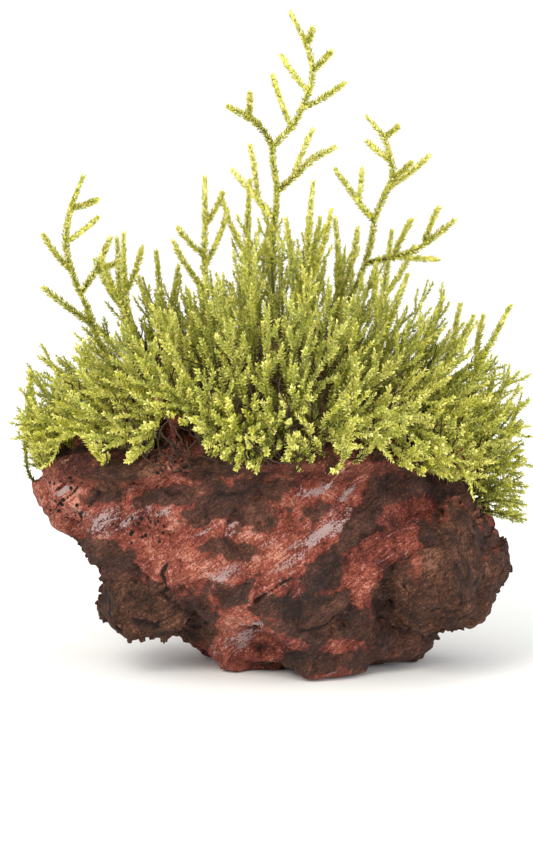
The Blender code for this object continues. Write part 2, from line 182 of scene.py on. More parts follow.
def groundMaterial(name, tones, soil, patches, finish):
    # tones: colours of the broken stone, dark to light; soil: those of the earth on it.
    # Patches come from the mesh's own masks, and fine grain breaks up their edges.
    material, tree, shader = newMaterial(name, finish)
    place = addNode(tree, "ShaderNodeTexCoord").outputs["Object"]
    # strokes of grain that rise to the right: 2.4 mm long and 0.5 mm across
    leaning = addNode(tree, "ShaderNodeMapping",
                      {"vector_type": "TEXTURE", "Rotation": (0, math.radians(-38), 0),
                       "Scale": (0.0024, 0.001, 0.0005)}, {"Vector": place})
    strokes = addNode(tree, "ShaderNodeTexNoise", {"Scale": 1.0, "Detail": 3, "Roughness": 0.7},
                      {"Vector": leaning.outputs[0]}).outputs[0]
    # single mineral grains, 0.4 mm apart
    grains = addNode(tree, "ShaderNodeTexNoise", {"Scale": 2400, "Detail": 2, "Roughness": 0.6},
                     {"Vector": place}).outputs[0]
    # slow change of tone over 5 mm
    clouds = addNode(tree, "ShaderNodeTexNoise", {"Scale": 200, "Detail": 5, "Roughness": 0.65},
                     {"Vector": place}).outputs[0]
    # torn edges of the patches, 2 mm and less
    torn = addNode(tree, "ShaderNodeTexNoise", {"Scale": 480, "Detail": 6, "Roughness": 0.72,
                                                  "Distortion": 0.6}, {"Vector": place}).outputs[0]
    fine = addNode(tree, "ShaderNodeMath", {"operation": "ADD"}, {0: strokes, 1: grains}).outputs[0]
    tornFine = addNode(tree, "ShaderNodeMath", {"operation": "MULTIPLY_ADD", 1: 2.6},
                       {0: torn, 2: fine}).outputs[0]  # about 2.3
    mixed = addNode(tree, "ShaderNodeMath", {"operation": "MULTIPLY_ADD", 1: 0.85},
                    {0: fine, 2: clouds}).outputs[0]  # about 1.35, give or take 0.3
    lighter = addNode(tree, "ShaderNodeAttribute", {"attribute_name": "light"}).outputs["Fac"]
    lit = addNode(tree, "ShaderNodeMath", {"operation": "ADD"}, {0: mixed, 1: lighter}).outputs[0]
    tone = addNode(tree, "ShaderNodeMapRange", {"From Min": 1.06, "From Max": 1.62}, {0: lit}).outputs[0]
    # lichen in dots 0.8 mm wide, 1.5 mm apart
    dots = addNode(tree, "ShaderNodeTexVoronoi", {"Scale": 660}, {"Vector": place}).outputs["Distance"]
    dotted = addNode(tree, "ShaderNodeMapRange", {"From Min": 0.42, "From Max": 0.26}, {0: dots}).outputs[0]
    stone = addNode(tree, "ShaderNodeValToRGB", {"ramp": tones}, {0: tone}).outputs[0]
    earth = addNode(tree, "ShaderNodeValToRGB", {"ramp": soil}, {0: tone}).outputs[0]

    def masked(mask, under, over, grainShare, sharpness, grain=fine, grainMiddle=1.0, times=None):
        # a mask, scaled by times if that is given, has its edge moved about by the grain, then made steep
        value = addNode(tree, "ShaderNodeAttribute", {"attribute_name": mask}).outputs["Fac"]
        if times:
            value = addNode(tree, "ShaderNodeMath", {"operation": "MULTIPLY"},
                            {0: value, 1: times}).outputs[0]
        offset = addNode(tree, "ShaderNodeMath", {"operation": "MULTIPLY_ADD", 1: grainShare,
                                                  2: -grainShare * grainMiddle - 0.5}, {0: grain}).outputs[0]
        moved = addNode(tree, "ShaderNodeMath", {"operation": "ADD"}, {0: value, 1: offset}).outputs[0]
        steep = addNode(tree, "ShaderNodeMath", {"operation": "MULTIPLY_ADD", 1: sharpness, 2: 0.5,
                                                 "use_clamp": True}, {0: moved}).outputs[0]
        mix = addNode(tree, "ShaderNodeMix", {"data_type": "RGBA"}, {0: steep})
        for socket, colour in ((6, under), (7, over)):
            if isinstance(colour, str):
                mix.inputs[socket].default_value = linear(colour)
            else:
                tree.links.new(colour, mix.inputs[socket])
        return mix.outputs[2]

    colour = masked("soil", stone, earth, 0.8, 8.0, tornFine, 2.3)
    # painted highlights: pale streaks laid over the stone and the earth
    colour = masked("pale", colour, patches["pale"], 2.7, 2.2)
    # painted shade: cracks, and the hollows between crumbs, turn near black
    colour = masked("crack", colour, patches["crack"], 0.8, 3.0)
    colour = masked("lichen", colour, patches["lichen"], 0.5, 6.0, times=dotted)
    tree.links.new(colour, shader.inputs["Base Color"])
    rough = addNode(tree, "ShaderNodeMapRange", {"To Min": 0.72, "To Max": 0.95}, {0: tone}).outputs[0]
    tree.links.new(rough, shader.inputs["Roughness"])
    bump = addNode(tree, "ShaderNodeBump", {"Strength": 0.9, "Distance": 0.0005}, {"Height": fine})
    tree.links.new(bump.outputs[0], shader.inputs["Normal"])
    return material


# Red iron-rich sandstone, broken: dull, sandy to the eye, with pale lilac-grey painted highlights streaked
# along its grain
brokenRedSandstone = groundMaterial(
    "ironSandstoneBroken",
    tones=[(0.0, "#3C1811"), (0.28, "#602A20"), (0.55, "#7F3E2F"), (0.8, "#9A5644"), (1.0, "#BA8370")],
    soil=[(0.0, "#190F0B"), (0.4, "#37221A"), (0.7, "#4E2F24"), (1.0, "#664336")],
    # the pale colour is a painted highlight and the crack colour is painted shade
    patches={"pale": "#9C8582", "crack": "#24140F", "lichen": "#15100F"},
    finish={"IOR": 1.5, "Specular IOR Level": 0.3},
)
# Loam, packed by hand and damp: dark and crumbly, with tan painted highlights, painted shade in its cracks
# and between its crumbs, and no gloss
packedDampLoam = groundMaterial(
    "loamPackedDamp",
    tones=[(0.0, "#2E1510"), (0.35, "#552A20"), (0.65, "#6F3A2C"), (1.0, "#93594A")],
    soil=[(0.0, "#1A100C"), (0.4, "#38231A"), (0.75, "#533526"), (1.0, "#775140")],
    # here too the pale colour is a painted highlight and the crack colour is painted shade
    patches={"pale": "#8C6450", "crack": "#1A0F0C", "lichen": "#15100F"},
    finish={"IOR": 1.45, "Specular IOR Level": 0.25},
)


# The ground: stone, earth and crumbs

def treeOf(names):
    # one ray tree for several CAD nodes, and which node each of its faces is from
    points, faces, owner, total = [], [], [], 0
    for name in names:
        mesh = cadNodes[name].data
        points += [v.co / mm for v in mesh.vertices]
        faces += [[i + total for i in p.vertices] for p in mesh.polygons]
        owner += [name] * len(mesh.polygons)
        total = len(points)
    return BVHTree.FromPolygons(points, faces), owner


def standPeaks(body, peaks, plugs):
    # peaks are blunt cones a little behind the clod's front rim; plugs are balls that fill its holes
    tree, _ = treeOf(["red_stone", "earth_bed", "earth_crust_right"])
    ahead = Vector((0, 1, 0))
    for x, behind, top, width in peaks:
        rim = tree.ray_cast(Vector((x, inFront, clod["sightHeight"])), ahead)[0].y + behind
        centre = Vector((x, rim, (top + clod["peakFoot"]) / 2)) * mm
        bmesh.ops.create_cone(body, cap_ends=True, cap_tris=True, segments=14, radius1=width * mm,
                              radius2=width * clod["peakTip"] * mm, depth=(top - clod["peakFoot"]) * mm,
                              matrix=Matrix.Translation(centre))
    for x, height, radius in plugs:
        face = tree.ray_cast(Vector((x, inFront, height)), ahead)[0]
        centre = (face + ahead * radius * 0.55) * mm
        bmesh.ops.create_icosphere(body, subdivisions=2, radius=radius * mm,
                                   matrix=Matrix.Translation(centre))


def netOf(names, steps, skipLast=False, peaks=(), plugs=()):
    # merged copies of CAD nodes taken through a list of modifiers; gives points in mm, and quads
    body = bmesh.new()
    for name in names:
        body.from_mesh(cadNodes[name].data)
    bmesh.ops.remove_doubles(body, verts=body.verts, dist=1e-6)
    standPeaks(body, peaks, plugs)
    mesh = bpy.data.meshes.new("roughCopy")
    body.to_mesh(mesh)
    body.free()
    copy = bpy.data.objects.new("roughCopy", mesh)
    bpy.context.scene.collection.objects.link(copy)
    for kind, settings in steps[:-1] if skipLast else steps:
        step = copy.modifiers.new(kind, kind)
        for key, value in settings.items():
            setattr(step, key, value)
    done = copy.evaluated_get(bpy.context.evaluated_depsgraph_get()).to_mesh()
    points = np.empty(len(done.vertices) * 3, np.float32)
    done.vertices.foreach_get("co", points)
    quads = np.empty(len(done.loops), np.int32)
    done.loops.foreach_get("vertex_index", quads)
    bpy.data.objects.remove(copy)
    bpy.data.meshes.remove(mesh)
    return points.reshape(-1, 3).astype(float) / mm, quads.reshape(-1, 4)


def summed(values, quads, count):
    # each quad's three values, added up at its four corners
    return np.stack([np.bincount(quads.ravel(), np.repeat(values[:, k], 4), count) for k in range(3)], 1)


def normalsOf(points, quads):
    # each corner gets the sum of the normals of its quads, which are the cross of their diagonals
    flat = np.cross(points[quads[:, 2]] - points[quads[:, 0]], points[quads[:, 3]] - points[quads[:, 1]])
    return unit(summed(flat, quads, len(points)))


def calmed(points, quads, rounds):
    # each point moves halfway to the middle of its quads' corners, which rounds the CAD facets off
    count = np.bincount(quads.ravel(), minlength=len(points))[:, None]
    for _ in range(rounds):
        total = summed(points[quads].mean(axis=1), quads, len(points))
        points = points * 0.5 + total / count * 0.5
    return points


def seenHeight(points):
    # height as it shows from the front and ten degrees above
    return 0.985 * points[..., 2] + 0.174 * points[..., 1] + 0.8


def patchField(points, patches, seed, ragged=1.0):
    # greatest of the ellipses (x, height, half width, half height, tilt) on the front: 1 in the middle
    # of one, 0 on its rim; noise moves the points first, for ragged rims
    across = points[:, 0] + ragged * (2.6 * fractalNoise(points, 6, seed, 4)
                                      + 1.0 * smoothNoise(points, 1.4, seed + 5))
    upward = seenHeight(points) + ragged * (2.1 * fractalNoise(points, 5, seed + 9, 4)
                                            + 0.9 * smoothNoise(points, 1.4, seed + 15))
    field = np.full(len(points), -1.0)
    for x, height, halfWidth, halfHeight, tilt in patches:
        c, s = math.cos(math.radians(tilt)), math.sin(math.radians(tilt))
        dx, dz = across - x, upward - height
        reach = np.hypot((dx * c + dz * s) / halfWidth, (dz * c - dx * s) / halfHeight)
        field = np.maximum(field, 1 - reach)
    return field


clod = {
    "cell": 0.64,  # mm between the points of its net
    "fill": 2.4,  # grooves up to twice this wide are filled, so that earth and stone are one clod
    "swell": 1.1, "grit": 0.6, "fineGrit": 0.34,  # mm of slow and of fine unevenness
    "breaks": [(110, (0.7, 2.2), (6.0, 13.0)), (600, (0.2, 0.9), (2.5, 6.0))],  # how many, how deep, how wide
    "soilRise": 0.6, "crackDepth": 0.5,
    "peaks": [(-21.5, 3.5, 63, 9.0), (-24, 9, 67, 10.0), (-43.5, 2.5, 57, 7.5), (-38, 7, 60, 8.0),
              (24, 3.0, 55, 5.0), (-12, 3, 51, 4.2), (-6, 2.5, 49, 3.6), (-31, 4, 50, 6.0)],
    # each peak: x, how far behind the front rim, top, width at its foot
    "peakFoot": 36, "peakTip": 0.22,  # height they all stand on; width at the top, as a share of the foot's
    "plugs": [(47.5, 27.5, 4.5), (39, 33.0, 3.0)],  # x, height, radius
    "sightHeight": 42,  # where the rim is looked for
}
inFront = -100  # y of a place well in front of the clump
# where things lie on the front: (x, height, half width, half height, tilt), in mm and degrees
frontPatches = {
    "soil": [
        (-36.5, 39.0, 7.0, 2.0, 32), (-32, 43.5, 6.5, 2.2, 5), (-11, 46.0, 8.5, 2.0, 8),
        (-24, 38.0, 6.5, 1.5, 4), (-6, 37.4, 8.5, 3.4, 10), (-16.5, 33.4, 3.2, 1.9, 20),
        (0, 32, 2.6, 2.4, -20), (-39, 25.5, 10.5, 3.3, -24), (-33.5, 20, 6.5, 4.5, -20),
        (-24.5, 12.0, 10.5, 7.0, 0), (-12.3, 26.8, 2.0, 2.4, 0), (-6.5, 26.0, 4.2, 1.7, 5),
        (13, 21.5, 4.2, 2.6, 30), (-7, 16, 7.0, 1.3, 43), (-0.8, 14.2, 3.2, 1.2, 20),
        (-14, 9.5, 2.6, 6.0, 10), (-2, 5.4, 3.0, 1.3, 10), (11.5, 34.8, 3.6, 2.6, 40),
        (21, 33.5, 10, 2.8, 58), (34, 40.0, 12.5, 2.4, -4), (28, 30.8, 5.5, 1.2, 12),
        (27, 19.0, 4.0, 4.2, 35), (45, 22.0, 11.0, 11.0, 10), (13, 10.6, 10.0, 3.8, 12),
        (29, 8.0, 10.0, 4.6, 0), (40, 28.0, 4.0, 5.0, 30), (15, 1.0, 15, 1.8, 0),
    ],
    "bare": [
        (-47.5, 36.5, 8.5, 9.5, -10), (-43, 49.5, 3.8, 6.0, 0), (-20.5, 51.0, 5.6, 6.4, 0),
        (-53, 38, 6, 8, 0), (-28, 41.0, 9.0, 1.5, 2), (-34, 32.0, 8, 3.6, -10),
        (-20.5, 24.5, 6.5, 8.0, 10), (-14, 30.0, 7.0, 1.8, 15), (13.5, 39.6, 8.0, 2.4, 8),
        (13.3, 31.5, 8.0, 2.2, 43), (3, 29, 5.0, 4.5, 35), (2, 21, 7, 4, 35), (31.5, 34.2, 6.4, 2.6, 20),
        (40.4, 34.0, 1.2, 3.2, 0), (22.5, 24.5, 6.5, 4.0, 28), (32, 25, 1.8, 4.6, 0),
        (21.5, 14.5, 1.6, 2.6, 20), (42, 14.5, 2.6, 1.0, 35), (-4, 4.5, 9.0, 4.0, 4),
        (-8, 9.5, 4.5, 4.5, 35), (16, 5.0, 5.0, 1.3, 0),
    ],
    # painted highlights: where the pale lilac-grey streaks lie on the front
    "pale": [
        (-36.5, 32.3, 4.8, 2.4, 52), (-29, 34.0, 3.4, 1.2, 24), (-23, 34.6, 2.4, 0.7, 10),
        (-40, 34.0, 2.2, 0.6, -15), (-7, 31.5, 3.4, 1.3, 38), (0, 27.8, 3.0, 1.5, 35),
        (-8.5, 21.0, 4.0, 1.2, 38), (5.5, 23.2, 4.6, 1.4, 36), (4, 18.5, 2.4, 0.8, -40),
        (-5, 7.5, 6.2, 2.2, 40), (13.8, 31.6, 8.4, 2.3, 42), (-3, 12.5, 3.6, 0.8, 40),
        (12, 40.2, 5.0, 0.8, 28), (17, 38.5, 2.6, 0.6, 35), (-14, 30.5, 3.0, 0.6, 25),
        (-46, 39.0, 2.0, 0.5, 25),
    ],
    "lichen": [
        (-46.5, 35.5, 5.0, 2.6, -10), (-44.5, 41.5, 4.0, 2.6, 0), (-28, 31.0, 8.0, 3.0, 8),
        (-22, 45, 5, 3, 0),
    ],
    "light": [
        (-47.5, 35.0, 8.5, 7.0, -10), (-21, 26.0, 8.0, 7.0, 20), (-30, 41.0, 8.0, 2.2, 10),
        (-1, 30, 7, 5, 30), (-8, 22.0, 6.0, 4.0, 30), (-7, 8.0, 6.0, 5.0, 30), (13, 39.5, 7, 2.4, 0),
        (0, 24, 7, 4, 30),
    ],
    "dim": [
        (24, 25.0, 8.0, 4.5, 25), (33, 34.0, 8.0, 3.5, 20), (-30, 33.0, 8.0, 4.5, 0), (-20.5, 50, 6, 5, 0),
        (8, 15, 9, 4, 20), (6, 4, 9, 2.5, 0), (-43, 47, 6, 5, 0), (12, 22, 6, 4, 20),
    ],
}


def broken(points, normals, breaks, rng):
    # a break is a plane a little under the surface: what stands above it within its reach is pressed down
    for count, depths, reaches in breaks:
        for _ in range(count):
            at = rng.integers(len(points))
            facing = unit(normals[at] + rng.normal(0, 0.26, 3))
            depth, reach = rng.uniform(*depths), rng.uniform(*reaches)
            away = points - points[at]
            near = np.flatnonzero((np.abs(away) < reach).all(axis=1))
            away = away[near]
            above = away @ facing + depth
            fade = 1 - ease(np.linalg.norm(away, axis=1), reach * 0.75, reach)
            points[near] -= np.outer(np.clip(above, 0, 2.5) * fade, facing)
    return points


def groundMasks(points, normals, soilBias=0.0):
    # at every point of a piece of the ground: soil, pale painted highlights, cracks with painted shade,
    # lichen, and a change of tone
    facing = ease(-normals[:, 1], -0.5, 0.0) * ease(-points[:, 1], -9, -1)  # 1 on the front
    lean = math.radians(38)
    grainwise = np.stack([(points[:, 0] * math.cos(lean) + points[:, 2] * math.sin(lean)) / 2.4,
                          points[:, 1] / 1.8,
                          points[:, 2] * math.cos(lean) - points[:, 0] * math.sin(lean)], axis=1)
    drift = fractalNoise(grainwise, 6.5, 31, 5)  # patches stretched along the grain
    specks = fractalNoise(grainwise, 2.6, 33, 2)
    soilHere = patchField(points, frontPatches["soil"], 41)
    bareHere = patchField(points, frontPatches["bare"], 47)
    low = ease(12 - points[:, 2], 0, 14) * 0.3
    frontSoil = 0.48 + 0.8 * (soilHere - np.maximum(bareHere, -0.6)) + 0.75 * drift + 0.5 * specks
    roundSoil = 0.42 + 1.6 * drift + low + 0.45 * specks
    soil = frontSoil * facing + roundSoil * (1 - facing) + soilBias
    top = ease(normals[:, 2], 0.7, 0.95) * ease(points[:, 2], 36, 44)
    soil = np.clip(np.maximum(soil, top), 0, 1)
    # painted highlights: pale streaks along the grain, gathered mostly in the listed front patches
    strokes = fractalNoise(grainwise * [0.6, 1, 1], 1.5, 61, 3)
    frontHighlight = 0.15 + 0.66 * patchField(points, frontPatches["pale"], 53, 0.6) + 1.2 * strokes
    roundHighlight = 0.02 + 0.7 * fractalNoise(grainwise, 5, 67, 4) + 0.4 * strokes
    pale = np.clip(frontHighlight * facing + roundHighlight * (1 - facing), -0.2, 1)
    pale = pale - ease(soil, 0.45, 0.7) * (pale + 0.9)
    # cracks along the grain: pressed in, and coloured as painted shade
    ridge = 1 - np.abs(fractalNoise(grainwise, 10, 71, 3)) * 17
    crack = ease(ridge, 0.2, 0.9) * ease(fractalNoise(points, 12, 73, 2), -0.1, 0.3)
    lichen = np.clip(0.5 + 0.8 * patchField(points, frontPatches["lichen"], 79), 0, 1) * facing
    lichen = lichen + np.clip(fractalNoise(points, 16, 83, 2) * 1.2 - 0.1, 0, 1) * (1 - facing)
    light = 0.09 * ease(patchField(points, frontPatches["light"], 91), -0.4, 0.5)
    light = (light - 0.13 * ease(patchField(points, frontPatches["dim"], 93), -0.4, 0.5)) * facing
    light = light + 0.12 * fractalNoise(grainwise, 5, 95, 3)
    return {"soil": soil, "pale": pale, "crack": crack, "lichen": lichen, "light": light}


def makeStone():
    rng = np.random.default_rng(11)
    grow = {"mid_level": 0.0, "strength": clod["fill"] * mm}
    shrink = {"mid_level": 0.0, "strength": -clod["fill"] * mm}
    points, quads = netOf(["red_stone", "earth_lobe_left", "earth_crust_right", "earth_bed"], [
        ("REMESH", {"mode": "VOXEL", "voxel_size": 0.9 * mm}), ("DISPLACE", grow),
        ("REMESH", {"mode": "VOXEL", "voxel_size": 0.8 * mm}), ("DISPLACE", shrink),
        ("REMESH", {"mode": "VOXEL", "voxel_size": clod["cell"] * mm})],
        peaks=clod["peaks"], plugs=clod["plugs"])
    points = calmed(points, quads, 9)
    normals = normalsOf(points, quads)
    standing = ease(points[:, 2], 0.4, 4.0)[:, None]  # the foot stays flat
    points = points + normals * standing * clod["swell"] * fractalNoise(points, 8, 21)[:, None]
    points = broken(points, normals, clod["breaks"], rng)
    normals = normalsOf(points, quads)
    masks = groundMasks(points, normals)
    near, number = crumbNoise(points, 2.3, 97)
    small, _ = crumbNoise(points, 1.2, 101)
    crumbly = (1 - near) * (0.4 + 0.7 * number) + (1 - small) * 0.35
    rise = ease(masks["soil"], 0.35, 0.7) * clod["soilRise"] * crumbly - masks["crack"] * clod["crackDepth"]
    grit = clod["grit"] * fractalNoise(points, 3.0, 103, 3)
    rise = rise + grit + clod["fineGrit"] * smoothNoise(points, 1.5, 107)
    points = points + normals * standing * (rise - 0.1)[:, None]
    points[:, 2] = np.maximum(points[:, 2], 0.0)
    stone = makePiece("redStoneBroken", points, [quads], brokenRedSandstone, ["red_stone"],
                      masks=masks)
    return stone, points, normalsOf(points, quads), masks["soil"]


loam = {
    "earthLobeLeft": {"node": "earth_lobe_left", "cell": 0.6, "seed": 201, "rise": 0.25, "soilBias": 0.14},
    "earthCrustRight": {"node": "earth_crust_right", "cell": 0.62, "seed": 251, "rise": 0.1,
                        "soilBias": 0.12},
    "earthBedTop": {"node": "earth_bed", "cell": 0.8, "seed": 301, "rise": 0.0, "soilBias": -0.02},
}


def makeLoam(name, stone):
    # its outer skin is drawn onto the clod and stands a little proud of it, and its rim dips under
    plan = loam[name]
    seed = plan["seed"]
    steps = [("REMESH", {"mode": "VOXEL", "voxel_size": plan["cell"] * mm}),
             ("SHRINKWRAP", {"target": stone, "wrap_method": "NEAREST_SURFACEPOINT"})]
    points, quads = netOf([plan["node"]], steps, skipLast=True)
    drawn, _ = netOf([plan["node"]], steps)
    outside = 1 - ease(np.linalg.norm(drawn - points, axis=1), 1.3, 3.4)
    points = calmed(points + (drawn - points) * outside[:, None], quads, 3)
    normals = normalsOf(points, quads)
    standing = ease(points[:, 2], 0.2, 3.0)[:, None]
    near, number = crumbNoise(points, 3.0, seed)
    small, _ = crumbNoise(points, 1.3, seed + 5)
    lumps = (0.85 - near) * (0.5 + 0.8 * number) * 1.0 + (0.7 - small) * 0.45
    slow = fractalNoise(points, 9, seed + 9)
    rise = plan["rise"] + lumps + 0.9 * slow + 0.25 * fractalNoise(points, 1.6, seed + 13, 2)
    rise = rise * outside - 1.0 * (1 - outside)
    points = points + normals * standing * rise[:, None]
    points[:, 2] = np.maximum(points[:, 2], 0.0)
    masks = groundMasks(points, normals, plan["soilBias"])
    # painted shade in the hollows between the lumps, added to that of the cracks
    masks["crack"] = np.maximum(masks["crack"] * 0.6, ease(near, 0.66, 0.95) * 0.7)
    makePiece(name, points, [quads], packedDampLoam, [plan["node"]], masks=masks)
    return points, normals


looseCrumbs = {"onStone": 300, "onLoam": 180, "size": (0.3, 1.2), "squash": 0.65, "seed": 5}


def makeCrumbs(grounds):
    # each crumb is a twenty-sided ball with its corners pushed about, sunk a third into the ground
    rng = np.random.default_rng(looseCrumbs["seed"])
    ball = bmesh.new()
    bmesh.ops.create_icosphere(ball, subdivisions=1, radius=1.0)
    corner = np.array([v.co for v in ball.verts])
    triangle = np.array([[v.index for v in f.verts] for f in ball.faces])
    ball.free()
    allPoints, allFaces, total = [], [], 0
    for points, normals, chance, count in grounds:
        picks = rng.choice(len(points), count, p=chance / chance.sum())
        sizes = rng.uniform(*looseCrumbs["size"], count) ** 1.3
        shape = corner[None] * rng.uniform(0.6, 1.2, (count, len(corner), 1))
        axes, _ = np.linalg.qr(rng.normal(size=(count, 3, 3)))
        axes[:, :, 0] *= np.sign(np.linalg.det(axes))[:, None]
        shape = np.einsum("nij,nkj->nki", axes, shape * [1, 1, looseCrumbs["squash"]]) * sizes[:, None, None]
        shape = shape + (points[picks] + normals[picks] * sizes[:, None] * 0.05)[:, None]
        allPoints.append(shape.reshape(-1, 3))
        firstCorner = np.arange(count) * len(corner) + total
        allFaces.append((triangle[None] + firstCorner[:, None, None]).reshape(-1, 3))
        total += count * len(corner)
    points = np.concatenate(allPoints)
    points[:, 2] = np.maximum(points[:, 2], 0.02)
    masks = {key: np.full(total, level) for key, level in
             {"soil": 0.8, "pale": -0.9, "crack": 0.0, "lichen": 0.0, "light": 0.0}.items()}
    makePiece("earthCrumbs", points, [np.concatenate(allFaces)], packedDampLoam, masks=masks)


def crumbChance(points, normals):
    # crumbs hold on sides and undersides, clear of the very foot
    overhang = 0.15 + ease(0.3 - normals[:, 2], 0, 0.5)
    return ease(points[:, 2], 1.5, 4) * overhang * ease(50 - points[:, 2], 0, 6)


stone, stonePoints, stoneNormals, stoneSoil = makeStone()
crumbGrounds = [(stonePoints, stoneNormals, stoneSoil**3 * crumbChance(stonePoints, stoneNormals),
                 looseCrumbs["onStone"])]
for name in loam:
    points, normals = makeLoam(name, stone)
    if name != "earthBedTop":
        crumbGrounds.append((points, normals, crumbChance(points, normals), looseCrumbs["onLoam"] // 2))
makeCrumbs(crumbGrounds)
print("the ground is made")


# The moss: paths, wiry stems and leaves

def bentPaths(start, startPull, end, endPull, count):
    # cubic through both ends, leaving along startPull and arriving along endPull (Hermite form)
    t = np.linspace(0, 1, count)[None, :, None]
    return ((2 * t**3 - 3 * t**2 + 1) * start[:, None] + (t**3 - 2 * t**2 + t) * startPull[:, None]
            + (3 * t**2 - 2 * t**3) * end[:, None] + (t**3 - t**2) * endPull[:, None])


def alongPaths(paths, which, share):
    # place and heading at a share of the way up each chosen path
    steps = paths.shape[1] - 1
    whole = np.minimum((share * steps).astype(int), steps - 1)
    rest = (share * steps - whole)[:, None]
    low, high = paths[which, whole], paths[which, whole + 1]
    return low + (high - low) * rest, unit(high - low)


def pathLengths(paths):
    return np.linalg.norm(np.diff(paths, axis=1), axis=2).sum(axis=1)


def crossAxes(heading):
    # two axes square to each heading
    helper = np.where(np.abs(heading[..., 2:3]) < 0.85, [0.0, 0.0, 1.0], [1.0, 0.0, 0.0])
    first = unit(np.cross(heading, helper))
    return first, np.cross(heading, first)


class Foliage:
    # gathers leaves and stems as arrays until a piece is made of them
    def __init__(self):
        self.points, self.faces, self.tones, self.total = [], [], [], 0

    def add(self, points, faces, tones):
        self.points.append(points)
        self.faces.append(faces + self.total)
        self.tones.append(tones)
        self.total += len(points)


def addStems(foliage, paths, rootRadius, tipRadius, rootTone, tipTone, sides=3):
    # a circle of a few sides carried along each path, with a closed end; radius and tone run evenly
    count, rings = paths.shape[:2]
    heading = unit(np.gradient(paths, axis=1))
    main = unit(paths[:, -1] - paths[:, 0])[:, None] * np.ones((1, rings, 1))
    first, _ = crossAxes(main)
    first = unit(first - heading * (first * heading).sum(-1, keepdims=True))
    second = np.cross(heading, first)
    turn = np.arange(sides) * 2 * np.pi / sides
    t = np.linspace(0, 1, rings)
    radius = (rootRadius * (1 - t) + tipRadius * t)[None, :, None, None]
    ring = (first[:, :, None] * np.cos(turn)[:, None] + second[:, :, None] * np.sin(turn)[:, None]) * radius
    points = paths[:, :, None] + ring
    a = np.arange(sides)
    b = (a + 1) % sides
    low = (np.arange(rings - 1) * sides)[:, None]
    walls = np.concatenate([np.stack([low + a, low + b, low + b + sides], -1).reshape(-1, 3),
                            np.stack([low + a, low + b + sides, low + a + sides], -1).reshape(-1, 3)])
    fan = np.stack([np.zeros(sides - 2, int), a[1:-1], a[2:]], 1)
    net = np.concatenate([walls, fan[:, ::-1], fan + (rings - 1) * sides])
    faces = (net[None] + (np.arange(count) * rings * sides)[:, None, None]).reshape(-1, 3)
    tones = np.empty((count, rings, sides, 2))
    tones[..., 0] = (rootTone[:, None, None] * (1 - t)[None, :, None]
                     + tipTone[:, None, None] * t[None, :, None])
    tones[..., 0] += (a % 2) * 0.02
    tones[..., 1] = 0.35 + 0.03 * (a == 1)
    foliage.add(points.reshape(-1, 3), faces, tones.reshape(-1, 2))


def addLeaves(foliage, paths, start, plan, tone, variety, rng, stemRadius=0.2):
    # a keeled leaf has four corners: base, tip and two sides that are bent in towards the stem.
    # Leaf i stands at i golden angles round the stem; the spread closes up towards the shoot's tip.
    lengths = pathLengths(paths) * (1 - start)
    counts = np.maximum(4, (lengths * plan["perMm"]).astype(int))
    which = np.repeat(np.arange(len(paths)), counts)
    order = np.arange(len(which)) - np.repeat(np.cumsum(counts) - counts, counts)
    local = (order + rng.uniform(0.1, 0.9, len(which))) / counts[which]
    share = start[which] + (1 - start[which]) * local
    spot, heading = alongPaths(paths, which, share)
    first, second = crossAxes(heading)
    turn = order * goldenAngle + which * 1.7 + rng.normal(0, 0.25, len(which))
    outward = first * np.cos(turn)[:, None] + second * np.sin(turn)[:, None]
    nearTip = ease(local, 0.8, 1.0)
    spread = np.radians(plan["spread"] * (1 - 0.45 * nearTip) + rng.normal(0, 9, len(which)))[:, None]
    ahead = heading * np.cos(spread) + outward * np.sin(spread)
    above = outward * np.cos(spread) - heading * np.sin(spread)
    side = np.cross(above, ahead)
    size = plan["leaf"] * rng.uniform(0.72, 1.25, len(which)) * (1 - 0.25 * nearTip)
    long, wide = size[:, None], (size * plan["slender"])[:, None]
    base = spot + outward * stemRadius * 0.5
    tip = base + ahead * long + heading * long * 0.12
    middle = base + ahead * long * 0.42 - above * wide * 0.28
    points = np.stack([base, tip, middle + side * wide * 0.5, middle - side * wide * 0.5], axis=1)
    net = np.array([[0, 3, 1], [0, 1, 2], [0, 2, 3], [1, 3, 2]])
    faces = (net[None] + (np.arange(len(which)) * 4)[:, None, None]).reshape(-1, 3)
    # tone: each leaf differs, some are dark and some bright, and shoots brighten to their tips; each leaf
    # also has painted shade at its base and painted light at its tip
    leafTone = tone[which] + 0.14 * (local - 0.5) + rng.normal(0, 0.11, len(which))
    lot = rng.random(len(which))
    leafTone = leafTone - 0.22 * (lot < plan["dark"]) + 0.11 * (lot > 1 - plan["bright"])
    leafVariety = variety[which] + rng.normal(0, 0.2, len(which))
    tones = np.empty((len(which), 4, 2))
    # painted shade and highlight: each leaf's base by the stem is darker and its tip lighter
    tones[:, :, 0] = leafTone[:, None] + [-0.05, 0.06, 0.0, 0.0]
    tones[:, :, 1] = leafVariety[:, None] + [0.0, 0.0, 0.007, -0.007]
    foliage.add(points.reshape(-1, 3), faces, tones.reshape(-1, 2))


def makeFoliage(name, foliage, material, replaced=()):
    points = np.concatenate(foliage.points)
    faces = np.concatenate(foliage.faces)
    tones = np.clip(np.concatenate(foliage.tones), 0.012, 0.988)
    makePiece(name, points, [faces], material, replaced, uv=tones)


